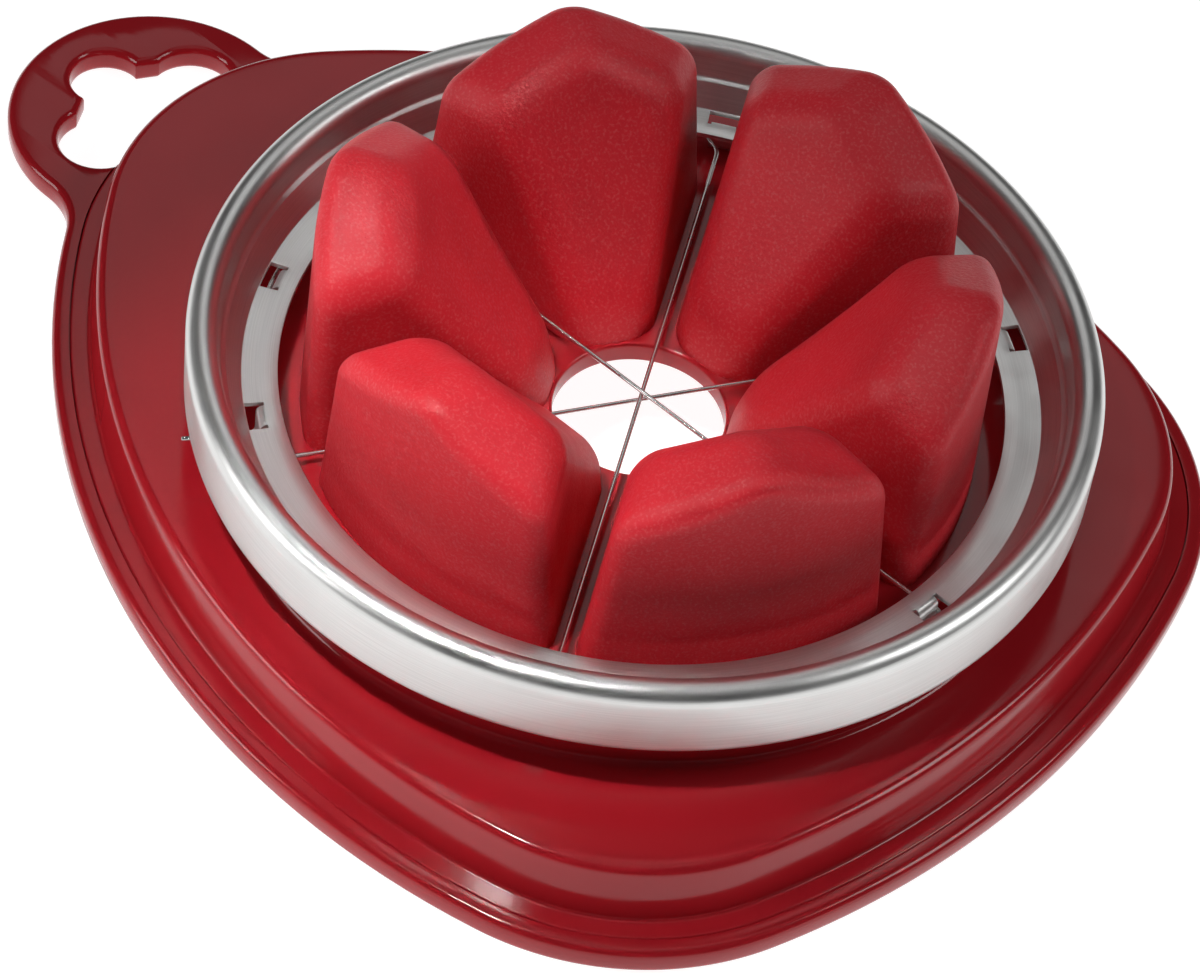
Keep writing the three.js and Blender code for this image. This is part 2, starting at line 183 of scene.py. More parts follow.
front_centre = np.array([FRONT_CENTRE_X, 0.0])
front_end = np.array([math.cos(FRONT_HALF_ANGLE), math.sin(FRONT_HALF_ANGLE)])
corner_centre = front_centre + FRONT_TO_CORNER * front_end
tail_centre = np.array([TAIL_CENTRE_X, 0.0])
side_centre = circle_crossing(corner_centre, CORNER_TO_SIDE, tail_centre, SIDE_TO_TAIL)
front_radius = FRONT_X - FRONT_CENTRE_X - FACET_MARGIN
corner_radius = front_radius - FRONT_TO_CORNER
side_radius = corner_radius + CORNER_TO_SIDE
tail_radius = side_radius - SIDE_TO_TAIL
tail_x = TAIL_CENTRE_X - tail_radius
loop_centre = np.array([rim_low.x - AXIS_X + LOOP_RADIUS, 0.0])
eye_lobe_x = tail_x + EYE_MARGIN - EYE_LOBE_RADIUS
eye_end_x = loop_centre[0] - EYE_END_OFFSET


def footprint_arcs():
    """The footprint as arcs: centre, radius, first and last angle, anticlockwise from the front."""
    corner_end = heading(side_centre, corner_centre)
    side_end = heading(side_centre, tail_centre)
    below = np.array([1, -1])
    return [
        (front_centre, front_radius, -FRONT_HALF_ANGLE, FRONT_HALF_ANGLE),
        (corner_centre, corner_radius, FRONT_HALF_ANGLE, corner_end),
        (side_centre, side_radius, corner_end, side_end),
        (tail_centre, tail_radius, side_end, 2 * math.pi - side_end),
        (side_centre * below, side_radius, -side_end, -corner_end),
        (corner_centre * below, corner_radius, -corner_end, -FRONT_HALF_ANGLE),
    ]


def footprint(insets):
    """Parallel curves of the footprint, one row per inset: arc centre plus (radius - inset) times
    the unit direction at an angle that runs evenly along each arc."""
    centres, radii, turns = [], [], []
    for centre, radius, start, end in footprint_arcs():
        turns.append(np.linspace(start, end, ARC_POINTS, endpoint=False))
        centres.append(np.tile(centre, (ARC_POINTS, 1)))
        radii.append(np.full(ARC_POINTS, radius))
    turn = np.concatenate(turns)
    direction = np.stack([np.cos(turn), np.sin(turn)], 1)
    reach = np.concatenate(radii) - np.asarray(insets)[:, None]
    return np.concatenate(centres) + reach[:, :, None] * direction


def arc_points(centre, radius, start, end, count):
    """Points of an arc at evenly spaced angles."""
    turn = np.linspace(start, end, count)
    return np.asarray(centre) + radius * np.stack([np.cos(turn), np.sin(turn)], 1)


def filleted(corners, steps, closed=False):
    """A polyline of (a, b, radius) corners with each corner replaced by an arc. The arc starts
    radius * tan(turn / 2) before the corner and bulges along a quadratic blend of the two sides."""
    points = np.array([corner[:2] for corner in corners], float)
    rounded = []
    for i, (a, b, radius) in enumerate(corners):
        if not radius or (not closed and i in (0, len(corners) - 1)):
            rounded.append(points[i])
            continue
        back = points[i - 1] - points[i]
        ahead = points[(i + 1) % len(points)] - points[i]
        back_length, ahead_length = np.hypot(*back), np.hypot(*ahead)
        back, ahead = back / back_length, ahead / ahead_length
        half = math.acos(np.clip(back @ ahead, -1, 1)) / 2
        cut = min(radius / math.tan(half), 0.499 * back_length, 0.499 * ahead_length)
        true_radius = cut * math.tan(half)
        middle = (back + ahead) / np.hypot(*(back + ahead))
        centre = points[i] + middle * true_radius / math.sin(half)
        first = points[i] + back * cut - centre
        last = points[i] + ahead * cut - centre
        sweep = math.atan2(first[0] * last[1] - first[1] * last[0], first @ last)
        turn = np.linspace(0, sweep, steps + 1)
        square = np.array([-first[1], first[0]])
        rounded.extend(centre + np.outer(np.cos(turn), first) + np.outer(np.sin(turn), square))
    return np.array(rounded)


def grid_faces(rows, columns, wrap_rows, wrap_columns):
    """Quads of a grid of points numbered row by row."""
    row = np.arange(rows if wrap_rows else rows - 1)[:, None]
    column = np.arange(columns if wrap_columns else columns - 1)[None, :]
    next_row = (row + 1) % rows
    next_column = (column + 1) % columns
    corners = (
        row * columns + column,
        row * columns + next_column,
        next_row * columns + next_column,
        next_row * columns + column,
    )
    return np.stack(corners, -1).reshape(-1, 4)


def mesh_piece(name, points, faces, smooth_degrees=35):
    """A new object at the origin with these points and faces, smooth where its faces turn less
    than smooth_degrees."""
    mesh = bpy.data.meshes.new(name)
    mesh.from_pydata(points.reshape(-1, 3).tolist(), [], [list(face) for face in faces])
    mesh.validate()
    mesh.shade_smooth()
    mesh.set_sharp_from_angle(angle=math.radians(smooth_degrees))
    piece = bpy.data.objects.new(name, mesh)
    bpy.context.scene.collection.objects.link(piece)
    return piece


def lifted(flat, heights):
    """Rows of plan points about the ring's axis as rows of points in space."""
    heights = np.broadcast_to(np.asarray(heights, float)[:, None], flat.shape[:2])
    return np.stack([flat[..., 0] + AXIS_X, flat[..., 1], heights], -1)


def eye_edge_x(y):
    """How far towards the cover the eye reaches at each y: a straight edge between round ends."""
    beyond = np.clip(np.abs(y) - EYE_SPREAD, 0, EYE_LOBE_RADIUS)
    edge = eye_lobe_x + np.sqrt(EYE_LOBE_RADIUS**2 - beyond**2)
    return np.where(np.abs(y) < EYE_SPREAD + EYE_LOBE_RADIUS, edge, -1.0)


def clear_of_eye(flat, margin):
    """Plan points pushed along +X until they are outside the eye by margin."""
    edge = eye_edge_x(flat[..., 1]) + margin
    near_tail = flat[..., 0] < TAIL_CENTRE_X
    pushed = np.where(near_tail, np.maximum(flat[..., 0], edge), flat[..., 0])
    return np.stack([pushed, flat[..., 1]], -1)


def flat_curve(name, outlines, thickness, edge):
    """A plate of that thickness between closed plan outlines, with its edges rounded by edge."""
    curve = bpy.data.curves.new(name, "CURVE")
    curve.dimensions = "2D"
    curve.fill_mode = "BOTH"
    curve.extrude = thickness / 2 - edge
    curve.bevel_depth = edge
    curve.offset = -edge
    curve.bevel_resolution = 3
    for outline in outlines:
        spline = curve.splines.new("POLY")
        spline.points.add(len(outline) - 1)
        padded = np.concatenate([outline, np.zeros((len(outline), 1)), np.ones((len(outline), 1))], 1)
        spline.points.foreach_set("co", padded.ravel())
        spline.use_cyclic_u = True
    drawn = bpy.data.objects.new(name, curve)
    bpy.context.scene.collection.objects.link(drawn)
    bpy.context.view_layer.update()
    mesh = bpy.data.meshes.new_from_object(drawn.evaluated_get(bpy.context.evaluated_depsgraph_get()))
    bpy.data.objects.remove(drawn)
    mesh.transform(Matrix.Translation((AXIS_X, 0, thickness / 2)))
    return mesh


def eye_outline():
    """The eye's edge, anticlockwise: a wide slot with round ends, and a lobe towards the loop's end
    that meets it in two soft cusps."""
    slot_back = eye_lobe_x - EYE_LOBE_RADIUS
    lobe_half = math.acos((slot_back - eye_end_x) / EYE_END_RADIUS)
    full = 2 * math.pi
    start = lobe_half + LOBE_CUSP
    lobe = arc_points((eye_end_x, 0), EYE_END_RADIUS, start, full - start, EYE_STEPS)
    end = math.pi + SLOT_CUSP
    upper = arc_points((eye_lobe_x, EYE_SPREAD), EYE_LOBE_RADIUS, 0, end, EYE_STEPS)
    lower = arc_points((eye_lobe_x, -EYE_SPREAD), EYE_LOBE_RADIUS, full - end, full, EYE_STEPS)
    return np.concatenate([upper, lobe, lower])


def rim_outline():
    """The frame's outer edge, anticlockwise: the footprint, left at the neck for the loop's circle
    by way of two hollow arcs."""
    neck = circle_crossing(
        loop_centre, LOOP_RADIUS + LOOP_NECK_RADIUS, tail_centre, tail_radius + LOOP_NECK_RADIUS
    )
    to_tail = heading(neck, tail_centre)
    to_loop = heading(neck, loop_centre)
    leave = heading(tail_centre, neck)
    arcs = footprint_arcs()
    arcs[3] = (tail_centre, tail_radius, arcs[3][2], 2 * math.pi - leave)
    parts = [arc_points(*arc, ARC_POINTS)[:-1] for arc in arcs[:4]]
    above = neck * np.array([1, -1])
    loop_turn = to_loop - math.pi
    full = 2 * math.pi
    parts.append(arc_points(above, LOOP_NECK_RADIUS, full - to_tail, full - to_loop, NECK_STEPS)[:-1])
    parts.append(arc_points(loop_centre, LOOP_RADIUS, -loop_turn, full + loop_turn, LOOP_STEPS)[:-1])
    parts.append(arc_points(neck, LOOP_NECK_RADIUS, to_loop, to_tail, NECK_STEPS)[:-1])
    parts.append(arc_points(tail_centre, tail_radius, leave, full - arcs[3][2], NECK_STEPS)[:-1])
    parts += [arc_points(*arc, ARC_POINTS)[:-1] for arc in arcs[4:]]
    return np.concatenate(parts)


def merged(mesh, closed=True):
    """The mesh with its doubled vertices made one and, if it is closed, its faces turned outwards."""
    shape = bmesh.new()
    shape.from_mesh(mesh)
    bmesh.ops.remove_doubles(shape, verts=shape.verts, dist=0.002 * MM)
    if closed:
        bmesh.ops.recalc_face_normals(shape, faces=shape.faces)
    shape.to_mesh(mesh)
    shape.free()
    return mesh


def prism(name, outline, bottom, top):
    """An upright solid between two heights over a plan outline."""
    count = len(outline)
    rows = lifted(np.stack([outline, outline]), [bottom, top])
    faces = grid_faces(2, count, False, True).tolist()
    faces += [list(range(count - 1, -1, -1)), list(range(count, 2 * count))]
    return mesh_piece(name, rows, faces)


def finished_mesh(piece):
    """Applies the piece's modifiers."""
    bpy.context.view_layer.update()
    graph = bpy.context.evaluated_depsgraph_get()
    mesh = bpy.data.meshes.new_from_object(piece.evaluated_get(graph))
    piece.modifiers.clear()
    piece.data = mesh
    return piece


rim_outlines = [rim_outline(), footprint([RIM_WIDTH])[0], eye_outline()]
rim_plate = merged(flat_curve("rim_plate", rim_outlines, RIM_HEIGHT, RIM_ROUNDING))
lower_frame = bpy.data.objects.new("rim_and_loop", rim_plate)
bpy.context.scene.collection.objects.link(lower_frame)
rebate = prism("rebate", footprint([RIM_LIP])[0], REBATE_HEIGHT, 2 * RIM_HEIGHT)
cut = lower_frame.modifiers.new("rebate", "BOOLEAN")
cut.operation = "DIFFERENCE"
cut.solver = "EXACT"
cut.object = rebate
finished_mesh(lower_frame)
bpy.data.objects.remove(rebate)
lower_frame.data.shade_smooth()
lower_frame.data.set_sharp_from_angle(angle=math.radians(30))
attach(lower_frame, "base")
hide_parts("lower_frame")


def link(tree, output, entry):
    """Joins a node's output to another's input."""
    tree.links.new(output, entry)


def noise_node(tree, vector, scale, detail, roughness=0.5):
    """Noise from 0 to 1 over a vector, with scale waves to the metre."""
    node = tree.nodes.new("ShaderNodeTexNoise")
    node.inputs["Scale"].default_value = scale
    node.inputs["Detail"].default_value = detail
    node.inputs["Roughness"].default_value = roughness
    link(tree, vector, node.inputs["Vector"])
    return node.outputs["Fac"]


def range_node(tree, value, low, high, from_low=0.3, from_high=0.7):
    """A value's stretch from from_low to from_high spread over low to high, and held there."""
    node = tree.nodes.new("ShaderNodeMapRange")
    node.inputs["From Min"].default_value = from_low
    node.inputs["From Max"].default_value = from_high
    node.inputs["To Min"].default_value = low
    node.inputs["To Max"].default_value = high
    link(tree, value, node.inputs["Value"])
    return node.outputs["Result"]


def stretch_node(tree, vector, scale):
    """A vector with each of its parts multiplied by its own scale."""
    node = tree.nodes.new("ShaderNodeMapping")
    node.inputs["Scale"].default_value = scale
    link(tree, vector, node.inputs["Vector"])
    return node.outputs["Vector"]


CLOUD_SCALE = 60
GLINT_PAINT_SCALE = 3600
# Painted glints: the pale colour of specks mixed into the base colour, standing in for light caught by the
# grain.
GLINT_PAINT_COLOUR = (0.75, 0.62, 0.6, 1)


def colour_and_glints_group():
    """Colour of moulded plastic: a base colour that drifts between a darker and a lighter shade in soft
    clouds, with painted glints: fine pale specks mixed into the colour at random that stand in for light
    caught by a grained surface."""
    tree = bpy.data.node_groups.new("colour_and_glints", "ShaderNodeTree")
    tree.interface.new_socket("Vector", in_out="INPUT", socket_type="NodeSocketVector")
    tree.interface.new_socket("Dark", in_out="INPUT", socket_type="NodeSocketColor")
    tree.interface.new_socket("Light", in_out="INPUT", socket_type="NodeSocketColor")
    tree.interface.new_socket("Painted_glints", in_out="INPUT", socket_type="NodeSocketFloat")
    tree.interface.new_socket("Color", in_out="OUTPUT", socket_type="NodeSocketColor")
    given = tree.nodes.new("NodeGroupInput")
    result = tree.nodes.new("NodeGroupOutput")
    clouds = range_node(tree, noise_node(tree, given.outputs["Vector"], CLOUD_SCALE, 3), 0, 1)
    shade = tree.nodes.new("ShaderNodeMix")
    shade.data_type = "RGBA"
    link(tree, clouds, shade.inputs["Factor"])
    link(tree, given.outputs["Dark"], shade.inputs["A"])
    link(tree, given.outputs["Light"], shade.inputs["B"])
    # Painted glints: fine noise specks that lighten the base colour, standing in for the sparkle of the
    # grain.
    glint_spots = range_node(tree, noise_node(tree, given.outputs["Vector"], GLINT_PAINT_SCALE, 1), 0, 1, 0.5, 0.8)
    amount = tree.nodes.new("ShaderNodeMath")
    amount.operation = "MULTIPLY"
    link(tree, glint_spots, amount.inputs[0])
    link(tree, given.outputs["Painted_glints"], amount.inputs[1])
    with_painted_glints = tree.nodes.new("ShaderNodeMix")
    with_painted_glints.data_type = "RGBA"
    with_painted_glints.inputs["B"].default_value = GLINT_PAINT_COLOUR
    link(tree, amount.outputs["Value"], with_painted_glints.inputs["Factor"])
    link(tree, shade.outputs["Result"], with_painted_glints.inputs["A"])
    link(tree, with_painted_glints.outputs["Result"], result.inputs["Color"])
    return tree


colour_and_glints = colour_and_glints_group()


def finish_material(name, metallic):
    """A new material with its node tree, its shader and its texture coordinates."""
    material = bpy.data.materials.new(name)
    material.use_nodes = True
    tree = material.node_tree
    shader = tree.nodes["Principled BSDF"]
    shader.inputs["Metallic"].default_value = metallic
    place = tree.nodes.new("ShaderNodeTexCoord")
    return material, tree, shader, place


def bump_into(tree, shader, height, strength, distance):
    """Raises the shader's surface by distance times the height."""
    bump = tree.nodes.new("ShaderNodeBump")
    bump.inputs["Strength"].default_value = strength
    bump.inputs["Distance"].default_value = distance
    link(tree, height, bump.inputs["Height"])
    link(tree, bump.outputs["Normal"], shader.inputs["Normal"])


PATCH_SCALE = 220


def red_plastic(name, dark, light, painted_glint_amount, roughness, grain_scale, grain_strength, grain_depth, shine):
    """Pigmented plastic: cloudy colour with painted glints mixed in, roughness that wanders between two
    values, and a grain.
    """
    material, tree, shader, place = finish_material(name, 0)
    shader.inputs["Specular IOR Level"].default_value = shine
    pigment = tree.nodes.new("ShaderNodeGroup")
    pigment.node_tree = colour_and_glints
    pigment.inputs["Dark"].default_value = (*dark, 1)
    pigment.inputs["Light"].default_value = (*light, 1)
    pigment.inputs["Painted_glints"].default_value = painted_glint_amount
    link(tree, place.outputs["Object"], pigment.inputs["Vector"])
    link(tree, pigment.outputs["Color"], shader.inputs["Base Color"])
    patches = noise_node(tree, place.outputs["Object"], PATCH_SCALE, 4)
    link(tree, range_node(tree, patches, *roughness), shader.inputs["Roughness"])
    grain = noise_node(tree, place.outputs["Object"], grain_scale, 3, 0.6)
    bump_into(tree, shader, grain, grain_strength, grain_depth)
    return material


polished_red = red_plastic(
    "polished_red", dark=(0.38, 0.010, 0.016), light=(0.43, 0.013, 0.020), painted_glint_amount=0,
    roughness=(0.08, 0.16), grain_scale=1400, grain_strength=0.02, grain_depth=0.02 * MM, shine=0.4,
)
lower_frame.data.materials.append(polished_red)

# ---- top cover ---------------------------------------------------------------------------------
# The cover is one thin glossy moulding, open underneath: a foot that drops into the rim's rebate,
# a leaning side wall, a flat deck, and the raised round plinth with a hole for the egg's tip.

SHELL_THICKNESS = 2.2 * MM
SEAM = 0.08 * MM
DECK_HEIGHT = 9.14 * MM
PLINTH_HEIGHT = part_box("top_shell")[1].z
PLINTH_MARGIN = 3 * MM
PLINTH_RADIUS = RING_RADIUS - PLINTH_MARGIN
HOLE_RADIUS = 8.16 * MM
WALL_FOOT_INSET = 3.7 * MM
DECK_INSET = 4.3 * MM
SHOULDER = 1.35 * MM
FOOT_ROUNDING = 0.25 * MM
GROOVE_ROUNDING = 0.4 * MM
PLINTH_COVE = 0.8 * MM
PLINTH_ROUNDING = 0.6 * MM
HOLE_ROUNDING = 0.4 * MM
INNER_ROUNDING = 0.3 * MM
CEILING_ROUNDING = 1 * MM


def cover_points():
    """Closed rows of points: the outer skin from the foot over the deck to the hole, then the inner
    skin back. Rows before the deck's edge follow the footprint at an inset, the others are circles
    about the ring's axis, and every row has its points in step with the footprint's."""
    ceiling = DECK_HEIGHT - SHELL_THICKNESS
    plinth_ceiling = PLINTH_HEIGHT - SHELL_THICKNESS
    inner_radius = PLINTH_RADIUS - SHELL_THICKNESS
    outer_wall = filleted(
        [
            (RIM_LIP + SEAM, REBATE_HEIGHT, 0),
            (RIM_LIP + SEAM, RIM_HEIGHT, FOOT_ROUNDING),
            (WALL_FOOT_INSET, RIM_HEIGHT, GROOVE_ROUNDING),
            (DECK_INSET, DECK_HEIGHT, SHOULDER),
            (DECK_INSET + SHOULDER + 0.4 * MM, DECK_HEIGHT, 0),
        ],
        8,
    )
    plinth = filleted(
        [
            (PLINTH_RADIUS + 1.5 * MM, DECK_HEIGHT, 0),
            (PLINTH_RADIUS, DECK_HEIGHT, PLINTH_COVE),
            (PLINTH_RADIUS, PLINTH_HEIGHT, PLINTH_ROUNDING),
            (HOLE_RADIUS, PLINTH_HEIGHT, HOLE_ROUNDING),
            (HOLE_RADIUS, plinth_ceiling, HOLE_ROUNDING / 2),
            (inner_radius, plinth_ceiling, INNER_ROUNDING),
            (inner_radius, ceiling, INNER_ROUNDING),
            (inner_radius + CEILING_ROUNDING, ceiling, 0),
        ],
        5,
    )
    inner_wall = filleted(
        [
            (DECK_INSET + SHELL_THICKNESS + 1.5 * MM, ceiling, 0),
            (DECK_INSET + SHELL_THICKNESS, ceiling, CEILING_ROUNDING),
            (WALL_FOOT_INSET + SHELL_THICKNESS, REBATE_HEIGHT, 0),
        ],
        4,
    )
    out_flat = footprint(outer_wall[:, 0])
    on_foot = outer_wall[:, 0] < WALL_FOOT_INSET - 0.3 * MM
    out_flat[on_foot] = clear_of_eye(out_flat[on_foot], 0.05 * MM)
    edge = footprint([DECK_INSET])[0]
    towards = edge / np.hypot(edge[:, 0], edge[:, 1])[:, None]
    round_flat = plinth[:, 0][:, None, None] * towards
    in_flat = footprint(inner_wall[:, 0])
    heights = np.concatenate([outer_wall[:, 1], plinth[:, 1], inner_wall[:, 1]])
    return lifted(np.concatenate([out_flat, round_flat, in_flat]), heights)


rows = cover_points()
top_cover = mesh_piece("top_cover", rows, grid_faces(*rows.shape[:2], True, True))
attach(top_cover, "base")
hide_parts("top_shell")
top_cover.data.materials.append(polished_red)

# ---- wedge posts -------------------------------------------------------------------------------
# Six identical mouldings with a fine spark-eroded grain, which stand round the hole and cradle the
# egg. Every edge but the one on the plinth is generously rounded.

POST_ROUNDING = 2.1 * MM
CUP_HOLLOW = 0.7 * MM
SLOT_HALF = 1.0 * MM
SLOT_DRAFT = 0.1015
POST_RISE = 23.95 * MM
RIDGE_HEIGHT = PLINTH_HEIGHT + POST_RISE
RIDGE_INNER = 24.12 * MM
RIDGE_SLOPE = 0.06
ROOF_SLOPE = 0.478
POST_FOOT = 31.72 * MM
POST_LEAN = 0.6 * MM / POST_RISE
TOE_HEIGHT = PLINTH_HEIGHT + 4.3 * MM
TOE_FOOT = HOLE_RADIUS + 0.34 * MM
TOE_TOP = TOE_FOOT + 0.6 * MM
POST_SECTOR = math.radians(30)
POST_MIDDLE = np.array([21.5 * MM, 0, 22.5 * MM])
POST_SINK = 0.3 * MM
POST_REACH = 40 * MM
HALVINGS = 30


def outside(out, across, up):
    """How far a point stands out of the rounded wedge: the square root of the sum of the squares of
    its distances past each face moved inwards by the rounding, less the rounding itself."""
    along = np.clip((up - TOE_HEIGHT) / (RIDGE_HEIGHT - TOE_HEIGHT), 0, 1)
    hollow = CUP_HOLLOW * 4 * along * (1 - along)
    sin, cos = math.sin(POST_SECTOR), math.cos(POST_SECTOR)

    def past(across_slope, out_slope, up_slope, offset):
        """The distance past the plane where the three slopes times the place come to offset."""
        size = math.sqrt(across_slope**2 + out_slope**2 + up_slope**2)
        return (across_slope * across + out_slope * out + up_slope * up - offset) / size

    cup_rise, cup_run = RIDGE_HEIGHT - TOE_HEIGHT, RIDGE_INNER - TOE_TOP
    toe_rise, toe_run = TOE_HEIGHT - PLINTH_HEIGHT, TOE_TOP - TOE_FOOT
    cup = past(0, -cup_rise, cup_run, cup_run * RIDGE_HEIGHT - cup_rise * RIDGE_INNER) + hollow
    toe = past(0, -toe_rise, toe_run, toe_run * PLINTH_HEIGHT - toe_rise * TOE_FOOT)
    back = np.hypot(out, across) - POST_FOOT + POST_LEAN * (up - PLINTH_HEIGHT)
    faces = [cup, toe, back]
    for side in (1, -1):
        faces.append(past(side * cos, -sin, SLOT_DRAFT, SLOT_DRAFT * PLINTH_HEIGHT - SLOT_HALF))
        faces.append(past(side * ROOF_SLOPE, -RIDGE_SLOPE, 1, RIDGE_HEIGHT - RIDGE_SLOPE * RIDGE_INNER))
    squares = sum(np.maximum(face + POST_ROUNDING, 0) ** 2 for face in faces)
    return np.sqrt(squares) - POST_ROUNDING


def post_points(degrees, around=216, down=128):
    """The wedge seen from its middle: middle plus reach times a direction that runs evenly round
    and down. The reach at which the point comes out is found by halving, and is cut short where the
    point would be lower than just under the plinth's top."""
    turn = np.linspace(0, 2 * math.pi, around, endpoint=False)
    tilt = np.linspace(0, math.pi, down + 2)[1:-1, None]
    level, upright = np.sin(tilt), np.cos(tilt)
    ray = np.stack([level * np.cos(turn), level * np.sin(turn), upright * np.ones_like(turn)], -1)
    near, far = np.zeros(ray.shape[:2]), np.full(ray.shape[:2], POST_REACH)
    for _ in range(HALVINGS):
        reach = (near + far) / 2
        point = POST_MIDDLE + reach[..., None] * ray
        inside = outside(point[..., 0], point[..., 1], point[..., 2]) < 0
        near, far = np.where(inside, reach, near), np.where(inside, far, reach)
    fall = PLINTH_HEIGHT - POST_SINK - POST_MIDDLE[2]
    to_foot = np.where(ray[..., 2] < 0, fall / np.minimum(ray[..., 2], -1e-9), far)
    point = POST_MIDDLE + np.minimum(near, to_foot)[..., None] * ray
    angle = math.radians(degrees)
    x = point[..., 0] * math.cos(angle) - point[..., 1] * math.sin(angle) + AXIS_X
    y = point[..., 0] * math.sin(angle) + point[..., 1] * math.cos(angle)
    return np.stack([x, y, point[..., 2]], -1)


# The posts' colour carries painted glints: pale specks in the base colour that stand in for light caught
# by the grain.
grained_red = red_plastic(
    "grained_red", dark=(0.54, 0.013, 0.022), light=(0.62, 0.018, 0.030), painted_glint_amount=0.08,
    roughness=(0.42, 0.52), grain_scale=2600, grain_strength=0.8, grain_depth=0.09 * MM, shine=0.3,
)
for number in range(1, 7):
    rows = post_points(60 * number - 30)
    count = rows.shape[1]
    last = (rows.shape[0] - 1) * count
    faces = grid_faces(*rows.shape[:2], False, True)[:, ::-1].tolist()
    faces += [list(range(count)), list(range(last + count - 1, last - 1, -1))]
    post = mesh_piece(f"post_{number}", rows, faces, 40)
    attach(post, "base")
    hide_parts(f"wedge_post_{number}")
    post.data.materials.append(grained_red)

# ---- cutter ring -------------------------------------------------------------------------------
# Half-millimetre stainless sheet, pressed and rolled: a skirt, a bead, a sloping inner wall with a
# fine draw line, and a flange with lanced windows whose tongues are curled down over the wire.

SHEET = 0.5 * MM
BEAD_RADIUS = 1.49 * MM
FLANGE_HEIGHT = PLINTH_HEIGHT + 3.9 * MM
BEAD_HEIGHT = FLANGE_HEIGHT + 4.55 * MM
SKIRT_BOTTOM = FLANGE_HEIGHT - 1.3 * MM
INNER_WALL_RUN = 2.2 * MM
FLANGE_OUTER = RING_RADIUS - 2 * BEAD_RADIUS - INNER_WALL_RUN
FLANGE_INNER = FLANGE_OUTER - 3.4 * MM
WINDOW_INNER = FLANGE_INNER + 1.5 * MM
WINDOW_OUTER = WINDOW_INNER + 1.8 * MM
WINDOW_HALF = 1.6 * MM
TONGUE_HALF = 1.2 * MM
TONGUE_THIRD = 0.4 * MM
TONGUE_BEND = 0.75 * MM
TONGUE_TIP_RADIUS = 0.7 * MM
TONGUE_ROW = 0.3 * MM
EDGE_ROUNDING = 0.08 * MM
START_TONGUE = 206.5
HOOKS = [(178, 180, -1), (-1.6, 0, 1), (298, 300, -1), (120, 120, 1), (56.4, 60, -1), (234.8, 240, 1)]
RING_STEPS = 480


def angle_off(angles, tongues):
    """How far each angle is from the nearest tongue's, either way round."""
    return np.abs((angles[:, None] - tongues + math.pi) % (2 * math.pi) - math.pi).min(1)


def ring_angles():
    """Angles round the ring, in even steps but for those near a window, which are replaced by its
    own, and the tongues' angles."""
    even = np.linspace(0, 2 * math.pi, RING_STEPS, endpoint=False)
    tongues = np.radians([START_TONGUE] + [hook[0] for hook in HOOKS]) % (2 * math.pi)
    half_offsets = np.array([TONGUE_THIRD, TONGUE_HALF, WINDOW_HALF]) / WINDOW_INNER
    offsets = np.concatenate([-half_offsets[::-1], half_offsets])
    away = angle_off(even, tongues)
    own = (tongues[:, None] + offsets).ravel() % (2 * math.pi)
    return np.sort(np.concatenate([even[away > offsets[-1] + 0.004], own])), tongues


def sheet_profile():
    """The sheet's outer face as radius and height: skirt, bead as a half circle, inner wall with a
    small step, and flange with a row of points at each side of the windows."""
    bead_centre = RING_RADIUS - BEAD_RADIUS
    wall_top = bead_centre - BEAD_RADIUS
    skirt_heights = [SKIRT_BOTTOM, SKIRT_BOTTOM + 0.3 * MM, BEAD_HEIGHT - 0.5 * MM]
    skirt = [(RING_RADIUS, height) for height in skirt_heights]
    bead = arc_points((bead_centre, BEAD_HEIGHT), BEAD_RADIUS, 0, math.pi, 17)
    wall = filleted(
        [
            (wall_top, BEAD_HEIGHT, 0),
            (wall_top - 0.25 * MM, BEAD_HEIGHT - 1.9 * MM, 0.5 * MM),
            (wall_top - 0.75 * MM, BEAD_HEIGHT - 2.2 * MM, 0.4 * MM),
            (FLANGE_OUTER, FLANGE_HEIGHT, 0.8 * MM),
            (WINDOW_OUTER - 0.1 * MM, FLANGE_HEIGHT, 0),
        ],
        5,
    )
    flange = [(radius, FLANGE_HEIGHT) for radius in (WINDOW_OUTER, WINDOW_INNER, FLANGE_INNER)]
    return np.concatenate([skirt, bead, wall[1:-1], flange])


def tongue_profile():
    """A tongue's upper face from the window's inner edge: bent down through a quarter circle,
    straight down beside the wire, and curled outwards at the tip."""
    bend = arc_points((WINDOW_INNER, FLANGE_HEIGHT - TONGUE_BEND), TONGUE_BEND, math.pi / 2, 0, 7)
    tip_centre = (WINDOW_INNER + TONGUE_BEND + TONGUE_TIP_RADIUS, PLINTH_HEIGHT + 1.15 * MM)
    tip = arc_points(tip_centre, TONGUE_TIP_RADIUS, math.pi, 1.45 * math.pi, 6)
    return np.concatenate([bend, tip])


def turned(profile, angles):
    """A radius and height profile carried round the ring's axis: x and y are the radius times the
    cosine and sine of the angle."""
    direction = np.stack([np.cos(angles), np.sin(angles)], 1)
    return lifted(profile[:, 0][:, None, None] * direction, profile[:, 1])


def flat_uv(mesh, u, v):
    """Writes a UV map, in metres, from values per vertex."""
    layer = mesh.uv_layers.new(name="metres")
    corners = np.zeros(len(mesh.loops), int)
    mesh.loops.foreach_get("vertex_index", corners)
    layer.data.foreach_set("uv", np.stack([u[corners], v[corners]], 1).astype(np.float32).ravel())


